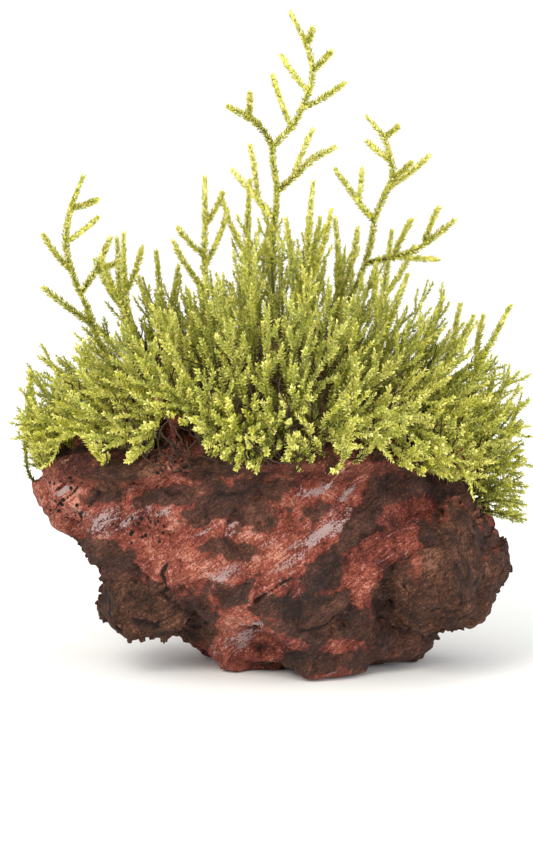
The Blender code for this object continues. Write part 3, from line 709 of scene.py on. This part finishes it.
def mossMaterial(name, cool, warm, finish):
    # the leaf's own map holds its tone, dark to bright, across and its variety, cool to warm, upward
    material, tree, shader = newMaterial(name, finish)
    place = addNode(tree, "ShaderNodeUVMap", {"uv_map": "OFBake"}).outputs[0]
    parts = addNode(tree, "ShaderNodeSeparateXYZ", links={0: place}).outputs
    ramps = [addNode(tree, "ShaderNodeValToRGB", {"ramp": ramp}, {0: parts[0]}).outputs[0]
             for ramp in (cool, warm)]
    colour = addNode(tree, "ShaderNodeMix", {"data_type": "RGBA"},
                     {0: parts[1], 6: ramps[0], 7: ramps[1]}).outputs[2]
    tree.links.new(colour, shader.inputs["Base Color"])
    rough = addNode(tree, "ShaderNodeMapRange", {"To Min": 0.75, "To Max": 0.5}, {0: parts[0]}).outputs[0]
    tree.links.new(rough, shader.inputs["Roughness"])
    return material


coolGreens = [(0.0, "#1E1410"), (0.10, "#382D1E"), (0.25, "#565C38"), (0.42, "#78804C"), (0.58, "#969D52"),
              (0.74, "#B0B654"), (0.88, "#CBC966"), (1.0, "#E6E290")]
warmGreens = [(0.0, "#241510"), (0.10, "#46311C"), (0.25, "#676126"), (0.42, "#8C8C2C"), (0.58, "#A9AC2C"),
              (0.74, "#C3C038"), (0.88, "#DDD253"), (1.0, "#F3EB94")]
leafFinish = {"IOR": 1.4, "Specular IOR Level": 0.35}
# Living moss leaf, one cell thick and moist: soft yellow-green with a faint silky light on it
turfMossLeaf = mossMaterial("mossLeafLiving", coolGreens, warmGreens, leafFinish)
# The same leaf on the tall fresh shoots, which are paler and drier
tallMossLeaf = mossMaterial("mossLeafFresh", coolGreens, warmGreens, leafFinish)

turf = {
    "shoots": 430, "heart": (0, 0, 46), "reach": (54, 38, 52),  # directions are spread over this ellipsoid
    "lowest": -0.42,  # how far below level the outermost shoots go
    "depth": (0.80, 1.03), "spires": 0.19, "spireDepth": (1.03, 1.10), "rootShare": 0.62,
    "leafyLength": (22, 34), "twigs": (5, 8), "twigLength": (3.5, 12.0), "twigAngle": 33,
    "perMm": 5.3, "leaf": 1.0, "slender": 0.58, "spread": 50, "dark": 0.15, "bright": 0.28,
    "tone": 0.66, "seed": 17,
}
fringe = {
    "shoots": 400, "spacing": (3.3, 2.5),  # mm between the shoots from the clod's shoulder, and at its ends
    "length": (8, 14), "endLength": (13, 22), "leafyLength": (40, 50),
    "twigs": (3, 5), "twigLength": (2.5, 6.0), "twigAngle": 38,
    "perMm": 5.8, "leaf": 0.92, "slender": 0.6, "spread": 52, "dark": 0.17, "bright": 0.32,
    "tone": 0.64, "seed": 23, "middleHalf": 11,
    # the moss's lower edge on the front: (x, height)
    "hem": [(-58, 38), (-51, 41), (-48.5, 45), (-46, 51), (-41.5, 52), (-39, 47), (-36, 44.5), (-29, 44.5),
            (-26, 48), (-24, 56), (-20, 56), (-17, 51), (-14, 48), (-9, 45), (0, 42.5), (14, 43), (20, 46),
            (24, 50), (27, 45), (36, 41.5), (41, 41.5), (44, 43), (46, 36), (52, 30), (58, 28)],
    "backHem": [(-58, 39), (-44, 42), (0, 43), (38, 41), (47, 34), (58, 28)],
}
tuftNames = {
    "moss_tuft_left_front": "mossTuftLeftFront", "moss_tuft_left_back": "mossTuftLeftBack",
    "moss_tuft_middle_front": "mossTuftMiddleFront", "moss_tuft_middle_back": "mossTuftMiddleBack",
    "moss_tuft_right_front": "mossTuftRightFront", "moss_tuft_right_back": "mossTuftRightBack",
}
# how bright the moss is and how warm, about a place on the front: (x, height, radius, tone, variety)
mossLight = [
    (-40, 60, 16, 0.07, 0.10), (-33, 48, 9, 0.12, 0.15), (0, 72, 22, 0.05, -0.15), (6, 58, 14, 0.02, -0.12),
    (-12, 52, 10, -0.02, 0.0), (47, 46, 12, 0.10, 0.12), (32, 60, 14, 0.14, -0.12), (-8, 92, 12, 0.06, 0.0),
    (22, 47, 8, 0.08, 0.10), (-18, 66, 9, 0.03, 0.1), (2, 46, 8, 0.05, 0.05),
]


def lightAt(points):
    tone, variety = np.zeros(len(points)), np.zeros(len(points))
    seen = seenHeight(points)
    for x, height, radius, brighter, warmer in mossLight:
        near = np.exp(-((points[:, 0] - x) ** 2 + (seen - height) ** 2) / (2 * radius**2))
        near = near * ease(-points[:, 1], -12, 6)  # on the front half
        tone += brighter * near
        variety += warmer * near
    return tone, variety


def turfTips(rng):
    # directions of a sunflower spiral over the dome; each tip is where a ray from outside meets a tuft
    tree, owner = treeOf(tuftNames)
    count = turf["shoots"]
    height = np.linspace(1, turf["lowest"], count) + rng.normal(0, 0.012, count)
    height = np.clip(height, -1, 1)
    turn = np.arange(count) * goldenAngle + rng.normal(0, 0.10, count)
    flat = np.sqrt(1 - height**2)
    directions = np.stack([flat * np.cos(turn), flat * np.sin(turn), height], 1) * turf["reach"]
    heart = np.array(turf["heart"], float)
    tips, homes = [], []
    for direction in directions:
        far = Vector(heart + direction * 3)
        hit, _, face, _ = tree.ray_cast(far, Vector(-direction).normalized())
        if hit is None or np.dot(np.array(hit) - heart, direction) < 0:
            continue
        tips.append(hit)
        homes.append(owner[face])
    return np.array(tips), np.array(homes)


def tuftAt(places, middleHalf):
    # the tuft that each place belongs to; the middle ones reach middleHalf mm to each side
    across = places[:, 0]
    side = np.where(across < -middleHalf, "left", np.where(across > middleHalf, "right", "middle"))
    return np.array([f"moss_tuft_{a}_{'front' if y < 2 else 'back'}" for a, y in zip(side, places[:, 1])])


def groundUnder(places):
    # where a line straight down meets the earth bed; the bed's edge is used outside it
    tree, _ = treeOf(["earth_bed", "red_stone"])
    heights = []
    for x, y in places:
        hit = tree.ray_cast(Vector((x, y, 120)), Vector((0, 0, -1)))[0]
        heights.append(hit.z if hit else 46.0)
    return np.array(heights)


def raised(points, room):
    # on the front, what hangs under the hem is lifted onto it, so that the clod's peaks stay bare
    ragged = 2.2 * fractalNoise(points.reshape(-1, 3), 4, 425, 2).reshape(points.shape[:-1])
    hem = np.interp(points[..., 0], *np.transpose(fringe["hem"])) + room + ragged
    lifted = points.copy()
    lifted[..., 2] += np.maximum(hem - seenHeight(points), 0) * ease(-points[..., 1], 0, 8)
    return lifted


def growShoots(plan, main, outward, homes, tone, variety, rng):
    # adds a leafy end and side twigs, left and right by turns in a plane that mostly faces outward;
    # gives the leaves and stems of each tuft
    count = len(main)
    lengths = pathLengths(main)
    start = np.clip(1 - rng.uniform(*plan["leafyLength"], count) / lengths, 0.0, 0.75)
    twigCounts = rng.integers(plan["twigs"][0], plan["twigs"][1] + 1, count)
    parent = np.repeat(np.arange(count), twigCounts)
    order = np.arange(len(parent)) - np.repeat(np.cumsum(twigCounts) - twigCounts, twigCounts)
    local = (order + rng.uniform(0.25, 0.75, len(parent))) / twigCounts[parent] * 0.88 + 0.04
    share = start[parent] + (1 - start[parent]) * local
    spot, heading = alongPaths(main, parent, share)
    facing = unit(outward[parent] * 0.7 + np.repeat(rng.normal(0, 0.6, (count, 3)), twigCounts, axis=0))
    sideways = unit(np.cross(heading, facing)) * np.where(order % 2, 1, -1)[:, None]
    sideways = unit(sideways + rng.normal(0, 0.3, (len(parent), 3)))
    short, long = plan["twigLength"]
    reach = ((short + (long - short) * (1 - local) ** 0.8) * rng.uniform(0.75, 1.2, len(parent)))[:, None]
    angle = np.radians(plan["twigAngle"] + rng.normal(0, 7, len(parent)))[:, None]
    leaving = heading * np.cos(angle) + sideways * np.sin(angle)
    end = spot + unit(leaving + heading * 0.35) * reach
    twigs = raised(bentPaths(spot, leaving * reach, end, unit(heading + leaving * 0.5) * reach, 5), 0.6)
    main = raised(main, 0.6)
    twigTone = tone[parent] + 0.05 * local - 0.02
    for node in tuftNames:
        foliage = tuftFoliage[node]
        mine = homes == node
        mineTwig = mine[parent]
        addStems(foliage, main[mine], 0.34, 0.16, np.full(mine.sum(), 0.05), tone[mine] * 0.7)
        addStems(foliage, twigs[mineTwig], 0.2, 0.12, twigTone[mineTwig] * 0.6, twigTone[mineTwig] * 0.8)
        addLeaves(foliage, main[mine], start[mine], plan, tone[mine], variety[mine], rng)
        addLeaves(foliage, twigs[mineTwig], np.full(mineTwig.sum(), 0.06), plan, twigTone[mineTwig],
                  variety[parent][mineTwig], rng)


def growTurf():
    rng = np.random.default_rng(turf["seed"])
    tips, homes = turfTips(rng)
    heart = np.array(turf["heart"], float)
    count = len(tips)
    depth = rng.uniform(*turf["depth"], count)
    spire = (rng.random(count) < turf["spires"]) & (tips[:, 2] > 60)
    depth = np.where(spire, rng.uniform(*turf["spireDepth"], count), depth)
    tips = heart + (tips - heart) * depth[:, None]
    hem = np.interp(tips[:, 0], *np.transpose(fringe["hem"])) + rng.uniform(3, 9, count)
    # none hangs over the stone
    tips[:, 2] += np.maximum(hem - seenHeight(tips), 0) * ease(-tips[:, 1], -4, 8)
    roots = tips * [turf["rootShare"], turf["rootShare"], 0] + rng.normal(0, 1.5, (count, 3)) * [1, 1, 0]
    roots[:, 2] = groundUnder(roots[:, :2]) - 0.8
    away = tips - roots
    distance = np.linalg.norm(away, axis=1, keepdims=True)
    outward = unit(tips - heart)
    fan = unit(tips - (roots * [1, 1, 0] + [0, 0, 28]))  # shoots fan out from deep under their roots
    arriving = unit(fan + [0, 0, 0.45] + rng.normal(0, 0.15, (count, 3)))
    leaving = unit([0, 0, 0.9] + unit(away) * 0.8 + rng.normal(0, 0.1, (count, 3)))
    main = bentPaths(roots, leaving * distance, tips, arriving * distance, 12)
    seenTone, seenVariety = lightAt(tips)
    tone = turf["tone"] + seenTone + 0.07 * fractalNoise(tips, 15, 401, 2) + rng.normal(0, 0.05, count)
    tone = tone + 0.06 * ease(tips[:, 2], 62, 100)
    variety = 0.45 + seenVariety + 0.25 * fractalNoise(tips, 12, 411, 2) + rng.normal(0, 0.12, count)
    growShoots(turf, main, outward, homes, tone, variety, rng)


def growFringe():
    # short shoots strewn over the clod's shoulder, above the hem; each leaves along the ground's normal
    rng = np.random.default_rng(fringe["seed"])
    front = ease(-stonePoints[:, 1], -4, 4)
    hem = np.interp(stonePoints[:, 0], *np.transpose(fringe["hem"])) * front
    hem += np.interp(stonePoints[:, 0], *np.transpose(fringe["backHem"])) * (1 - front)
    height = seenHeight(stonePoints) * front + stonePoints[:, 2] * (1 - front)
    hem = hem + 1.6 * fractalNoise(stonePoints, 7, 421, 2)
    fit = np.flatnonzero((height > hem) & (stonePoints[:, 2] < 62) & (stoneNormals[:, 2] < 0.9)
                         & (stoneNormals[:, 2] > -0.75))
    chosen = []
    for at in rng.permutation(fit):
        spacing = fringe["spacing"][1 if abs(stonePoints[at, 0]) > 41 else 0]
        if chosen and (np.linalg.norm(stonePoints[chosen] - stonePoints[at], axis=1) < spacing).any():
            continue
        chosen.append(at)
        if len(chosen) == fringe["shoots"]:
            break
    roots, normals = stonePoints[chosen] - stoneNormals[chosen] * 0.5, stoneNormals[chosen]
    count = len(chosen)
    level = normals * [1, 1, 0.3]
    atEnd = ease(np.abs(roots[:, 0]), 34, 48)
    length = rng.uniform(*fringe["length"], count) * (1 - atEnd)
    length = (length + rng.uniform(*fringe["endLength"], count) * atEnd)[:, None]
    drop = (atEnd * np.where(roots[:, 0] > 0, ease(46 - roots[:, 2], -1, 8), -0.55))[:, None]
    # at the right end the lowest shoots reach out, and at the left end they stand more upright
    arriving = unit(level * 0.55 + [0, 0, 0.75] - drop * [0, 0, 0.85] + rng.normal(0, 0.22, (count, 3)))
    leaving = unit(level * 0.9 + [0, 0, 0.35] - drop * [0, 0, 0.45] + rng.normal(0, 0.15, (count, 3)))
    tips = roots + unit(leaving + arriving) * length
    low, high = np.array(cadBox[0]) / mm + [0.5, -1.5, 0], np.array(cadBox[1]) / mm + [0.5, 1.5, 0]
    tips = np.clip(tips, low, high)
    main = bentPaths(roots, leaving * length, tips, arriving * length, 7)
    homes = tuftAt(roots, fringe["middleHalf"])
    seenTone, seenVariety = lightAt(tips)
    tone = fringe["tone"] + seenTone + 0.10 * fractalNoise(tips, 9, 431, 2) + rng.normal(0, 0.06, count)
    variety = 0.52 + seenVariety + 0.3 * fractalNoise(tips, 8, 441, 2) + rng.normal(0, 0.12, count)
    growShoots(fringe, main, normals, homes, tone, variety, rng)
    print(f"fringe: {count} shoots")


wiry = {
    "stems": 230, "length": (5, 11), "wander": 1.7, "radius": 0.26, "lowest": 48, "highest": 70,
    "inFront": 0.5,  # share of them in the middle of the front, where their dark lines also stand in for painted shadow between the shoots
    "seed": 31, "middleHalf": 18,
}


def growWiryStems():
    # old bare stems that wander through the outside of the moss: a straight way with noise across it. Their
    # near-black brown is partly the old stems' own colour and partly painted shadow between the shoots
    rng = np.random.default_rng(wiry["seed"])
    count = wiry["stems"]
    turn, rise = rng.uniform(0, 2 * np.pi, count), rng.uniform(0, 1, count) ** 1.3
    turn = np.where(rng.random(count) < wiry["inFront"], rng.normal(-np.pi / 2, 0.38, count), turn)
    starts = np.stack([50 * np.cos(turn), 34 * np.sin(turn), np.zeros(count)], 1)
    starts *= rng.uniform(0.84, 0.98, (count, 1)) * (1 - 0.42 * rise[:, None] ** 2)
    starts[:, 2] = wiry["lowest"] + rise * (wiry["highest"] - wiry["lowest"])
    outward = unit(starts - [0, 0, 30])
    across = unit(np.cross(outward, [0, 0, 1.0]))
    ahead = unit(outward * 0.35 + [0, 0, 0.5] + across * rng.normal(0, 0.7, (count, 1)))
    length = rng.uniform(*wiry["length"], (count, 1))
    paths = bentPaths(starts, ahead * length, starts + ahead * length, ahead * length, 12)
    wander = np.stack([fractalNoise(paths.reshape(-1, 3), 3.2, 451 + k, 2) for k in range(3)], 1)
    paths = paths + wander.reshape(paths.shape) * wiry["wander"]
    homes = tuftAt(starts, wiry["middleHalf"])
    for node in tuftNames:
        mine = homes == node
        addStems(tuftFoliage[node], paths[mine], wiry["radius"], wiry["radius"] * 0.6,
                 np.full(mine.sum(), 0.03), np.full(mine.sum(), 0.09))


def deadMossMaterial():
    material, tree, shader = newMaterial("mossStemsDead", {"Roughness": 0.95, "Specular IOR Level": 0.2})
    place = addNode(tree, "ShaderNodeTexCoord").outputs["Object"]
    grain = addNode(tree, "ShaderNodeTexNoise", {"Scale": 900, "Detail": 5, "Roughness": 0.75},
                    {"Vector": place}).outputs[0]  # stems about 1 mm apart
    ramp = [(0.30, "#33231A"), (0.45, "#544029"), (0.55, "#6F6536"), (0.68, "#8F9048")]
    colour = addNode(tree, "ShaderNodeValToRGB", {"ramp": ramp}, {0: grain}).outputs[0]
    tree.links.new(colour, shader.inputs["Base Color"])
    bump = addNode(tree, "ShaderNodeBump", {"Strength": 1.0, "Distance": 0.0008}, {"Height": grain})
    tree.links.new(bump.outputs[0], shader.inputs["Normal"])
    return material


# Old moss inside the cushion, dead and packed with humus: dull brown with a few olive bits left in it
deadPackedMoss = deadMossMaterial()
cushionHeart = {"cell": 1.5, "share": (0.74, 0.58, 0.58), "lumps": 2.0, "seed": 61}


def makeCushionHeart():
    # the tufts' own solids drawn in towards the middle of the bed, with lumps
    remesh = ("REMESH", {"mode": "VOXEL", "voxel_size": cushionHeart["cell"] * mm})
    points, quads = netOf(list(tuftNames), [remesh])
    points = calmed(points, quads, 4)
    normals = normalsOf(points, quads)
    middle = np.array([0, 0, 46.0])
    points = middle + (points - middle) * cushionHeart["share"]
    seed = cushionHeart["seed"]
    rise = fractalNoise(points, 7, seed, 3) + 0.5 * smoothNoise(points, 2.4, seed + 5)
    points = points + normals * (rise * cushionHeart["lumps"])[:, None]
    hem = np.interp(points[:, 0], *np.transpose(fringe["hem"])) + 1.0
    points[:, 2] = np.where(points[:, 1] < 0, np.minimum(points[:, 2], 90), points[:, 2])
    points[:, 1] = np.where((seenHeight(points) < hem) & (points[:, 1] < -14), -14, points[:, 1])
    makePiece("cushionHeart", points, [quads], deadPackedMoss)


tuftFoliage = {node: Foliage() for node in tuftNames}
makeCushionHeart()
growTurf()
growFringe()
growWiryStems()
for node, name in tuftNames.items():
    makeFoliage(name, tuftFoliage[node], turfMossLeaf, [node])
print("the turf is made")


# The tall shoots and those of middle height, along the same ways as their CAD solids

tallPlan = {"perMm": 13.5, "leaf": 0.96, "slender": 0.72, "spread": 50, "dark": 0.14, "bright": 0.3}
# name: points up the stem, then twigs as (share of the stem, tip), in mm
stemWays = {
    "centre_shoot_stem": (
        [(0, -1, 52), (0, -2, 68), (1, -3, 82), (1, -3, 94), (2, -2, 107), (1, -2, 117), (5, -3, 121),
         (8, -3, 127), (10, -2, 133), (9, -1, 139), (5, 0, 147)],
        [(0.92, (10, -4, 144)), (0.86, (14, -5, 139)), (0.81, (3, 2, 137)), (0.77, (17, -6, 132)),
         (0.72, (1, 0, 133))]),
    "right_shoot_stem": (
        [(13, 4, 50), (15, 4, 66), (17, 4, 78), (21, 3, 88), (23, 2, 95), (24, 1, 101), (26, 0, 106),
         (28, -1, 111), (27, -2, 115), (26, -2, 119), (22, -3, 124)],
        [(0.92, (29, -4, 122)), (0.85, (22, 1, 118)), (0.79, (32, -4, 114)), (0.76, (36, 0, 115))]),
    "left_shoot_stem": (
        [(-26, 2, 49), (-32, 1, 63), (-37, 0, 71), (-40, -1, 80), (-43, -2, 87), (-45, -3, 95),
         (-44, -4, 103), (-41, -5, 111)],
        [(0.88, (-38, -7, 106)), (0.76, (-38, -1, 101)), (0.66, (-50, -6, 98))]),
    "inner_left_shoot": (
        [(-9, -4, 52), (-12, -5, 68), (-13, -6, 77), (-14, -6, 90), (-14, -7, 101), (-14, -7, 111)],
        [(0.82, (-10, -9, 108)), (0.70, (-20, -9, 100)), (0.66, (-9, -4, 103)), (0.56, (-21, -10, 97))]),
    "left_forked_shoot": (
        [(-24, -5, 51), (-29, -7, 68), (-31, -8, 80), (-32, -9, 90), (-32, -10, 99)],
        [(0.72, (-28, -12, 96)), (0.62, (-37, -11, 94))]),
    "left_short_shoot": (
        [(-18, 6, 52), (-22, 7, 70), (-24, 8, 82), (-25, 8, 92)], [(0.6, (-20, 6, 89)), (0.5, (-29, 9, 86))]),
    "crown_shoot": (
        [(6, -8, 51), (8, -10, 70), (9, -12, 86), (9, -13, 98), (10, -13, 111)],
        [(0.62, (14, -15, 105)), (0.55, (4, -15, 103))]),
    "crown_right_shoot": ([(9, 1, 52), (14, 0, 70), (16, -1, 86), (15, -2, 101)], [(0.62, (20, -4, 99))]),
    "right_leaning_shoot": (
        [(17, -6, 50), (23, -9, 68), (27, -11, 79), (31, -13, 90)], [(0.6, (24, -9, 92))]),
    "right_outer_shoot": ([(24, -4, 48), (31, -6, 64), (35, -7, 75), (39, -8, 84)], []),
    "right_upright_shoot": ([(29, 3, 47), (37, 2, 62), (41, 2, 72), (43, 2, 81)], [(0.6, (46, 4, 78))]),
    "right_end_shoot": ([(34, -3, 45), (42, -4, 58), (48, -5, 70), (54, -6, 82)], [(0.6, (48, -8, 80))]),
    "left_end_shoot": ([(-40, -6, 48), (-48, -8, 54), (-52, -9, 60), (-53, -9, 68)], []),
    "back_centre_shoot": (
        [(-3, 10, 51), (-4, 17, 70), (-5, 20, 88), (-4, 22, 106)],
        [(0.7, (-10, 23, 101)), (0.6, (2, 24, 99))]),
    "back_right_shoot": ([(18, 11, 49), (23, 19, 66), (26, 24, 80), (28, 26, 94)], [(0.68, (33, 28, 90))]),
    "back_left_shoot": (
        [(-23, 11, 50), (-29, 18, 64), (-33, 23, 78), (-34, 26, 92)], [(0.66, (-39, 28, 87))]),
}
# name: the stem it forks from, the height of the fork, its further points, and twigs
limbWays = {
    "centre_shoot_left_limb": ("centre_shoot_stem", 117, [(-1, -3, 121), (-4, -5, 124), (-9, -7, 127)],
                               [(0.62, (-4, -7, 130))]),
    "centre_shoot_right_limb": ("centre_shoot_stem", 107, [(6, -4, 111), (10, -6, 115), (15, -8, 118)],
                                [(0.3, (10, -2, 121))]),
    "centre_shoot_low_limb": ("centre_shoot_stem", 101, [(-1.5, 0, 104), (-4, 2, 107), (-8, 4, 111)],
                              [(0.4, (-4, 1, 117))]),
    "right_shoot_left_limb": ("right_shoot_stem", 100, [(20.5, 3, 103.5), (18, 4, 107), (15, 5, 111)],
                              [(0.4, (21, 6, 111))]),
    "right_shoot_arching_limb": ("right_shoot_stem", 90,
                                 [(28, 0, 92), (33, -2, 94), (37, -3, 97), (41.5, -5, 101)],
                                 [(0.3, (32, -4, 101)), (0.3, (38, 3, 91)), (0.62, (38, -6, 104))]),
    "left_shoot_low_limb": ("left_shoot_stem", 77, [(-43, -3, 80), (-50, -6, 86)], []),
    "left_shoot_right_limb": ("left_shoot_stem", 84, [(-38, -2, 90), (-35, -3, 97)], [(0.4, (-33, -5, 92))]),
}


def smoothWay(points, count):
    # Catmull-Rom curve through the points, read again at even spacing
    known = np.array([np.subtract(np.multiply(2.0, points[0]), points[1]), *points,
                      np.subtract(np.multiply(2.0, points[-1]), points[-2])], float)
    t = np.linspace(0, 1, 12, endpoint=False)[None, :, None]
    a, b, c, d = (known[i:len(known) - 3 + i][:, None] for i in range(4))
    fine = 0.5 * (2 * b + (c - a) * t + (2 * a - 5 * b + 4 * c - d) * t**2 + (3 * b - a - 3 * c + d) * t**3)
    fine = np.concatenate([fine.reshape(-1, 3), known[-2:-1]])
    along = np.concatenate([[0], np.cumsum(np.linalg.norm(np.diff(fine, axis=0), axis=1))])
    wanted = np.linspace(0, along[-1], count)
    return np.stack([np.interp(wanted, along, fine[:, k]) for k in range(3)], 1)


def camel(name):
    first, *rest = name.split("_")
    return first + "".join(word.capitalize() for word in rest)


def makeTallShoot(node, points, twigs, rng):
    way = smoothWay(points, 30)
    foliage = Foliage()
    share = np.array([s for s, _ in twigs])
    tip = np.array([t for _, t in twigs], float).reshape(-1, 3)
    inMoss = ease(way[:, 2], 66, 92)
    shootTone = 0.67 + 0.14 * inMoss.mean() + rng.normal(0, 0.02)
    tone, variety = np.array([shootTone]), np.array([0.55])
    start = np.array([max(0.0, 1 - 62 / pathLengths(way[None])[0])])
    addStems(foliage, way[None], 0.42, 0.2, np.array([0.08]), np.array([0.5]), sides=4)
    addLeaves(foliage, way[None], start, tallPlan, tone, variety, rng, stemRadius=0.8)
    if len(twigs):
        spot, heading = alongPaths(way[None], np.zeros(len(share), int), share)
        away = tip - spot
        reach = np.linalg.norm(away, axis=1, keepdims=True)
        outward = unit(away - heading * (away * heading).sum(1, keepdims=True))
        knee = spot + away * 0.5 + outward * reach * 0.08
        paths = bentPaths(spot, (knee - spot) * 2, tip, (tip - knee) * 2, 8)
        addStems(foliage, paths, 0.3, 0.16, np.full(len(paths), 0.3), np.full(len(paths), 0.5), sides=4)
        addLeaves(foliage, paths, np.zeros(len(paths)), tallPlan, np.full(len(paths), shootTone + 0.05),
                  np.full(len(paths), 0.6), rng, stemRadius=0.6)
    makeFoliage(camel(node) + "Leafy", foliage, tallMossLeaf, [node])


tallRandom = np.random.default_rng(29)
for node, (points, twigs) in stemWays.items():
    makeTallShoot(node, points, twigs, tallRandom)
for node, (stem, height, points, twigs) in limbWays.items():
    stemWay = smoothWay(stemWays[stem][0], 400)
    fork = stemWay[np.argmin(np.abs(stemWay[:, 2] - height))]
    makeTallShoot(node, [tuple(fork), *points], twigs, tallRandom)
print("the tall shoots are made")


# Floor, light and camera

studio = {
    "middle": (-0.3, 0, 52.7), "distance": 2400, "lookDown": 10, "tallView": 192.6,  # mm and degrees
    "sensor": 36, "floor": "#FBFBF9", "world": 1.05,
}
floorMaterial, _, _ = newMaterial("paperPaleMatt", {"Roughness": 0.9, "Base Color": linear(studio["floor"])})
bpy.ops.mesh.primitive_plane_add(size=30, location=(0, 0, -0.0002))
floor = bpy.context.object
floor.name = "paleFloor"
floor.data.materials.append(floorMaterial)

world = bpy.data.worlds.new("paleStudio")
bpy.context.scene.world = world
world.use_nodes = True
world.node_tree.nodes["Background"].inputs[0].default_value = (1, 1, 1, 1)
world.node_tree.nodes["Background"].inputs[1].default_value = studio["world"]


def addLight(name, place, power, size, colour):
    data = bpy.data.lights.new(name, "AREA")
    data.energy = power
    data.size = size
    data.color = linear(colour)[:3]
    lamp = bpy.data.objects.new(name, data)
    lamp.location = place
    lamp.rotation_euler = (Vector((0, 0, 0.06)) - Vector(place)).to_track_quat("-Z", "Y").to_euler()
    bpy.context.scene.collection.objects.link(lamp)


addLight("keySoftbox", (-0.5, -0.95, 0.8), 11.0, 0.7, "#FFFBF2")
addLight("fillSoftbox", (0.75, -0.95, 0.2), 9.0, 0.8, "#FAFCFF")

camera = bpy.data.objects.new("camera", bpy.data.cameras.new("camera"))
bpy.context.scene.collection.objects.link(camera)
lookDown = math.radians(studio["lookDown"])
middle = Vector(studio["middle"]) * mm
camera.location = middle + Vector((0, -math.cos(lookDown), math.sin(lookDown))) * studio["distance"] * mm
camera.rotation_euler = (math.pi / 2 - lookDown, 0, 0)
camera.data.sensor_width = studio["sensor"]
camera.data.lens = studio["sensor"] * studio["distance"] / studio["tallView"]
camera.data.clip_start = 0.05
bpy.context.scene.camera = camera
bpy.context.scene.view_settings.view_transform = "Standard"
print("the studio is set")
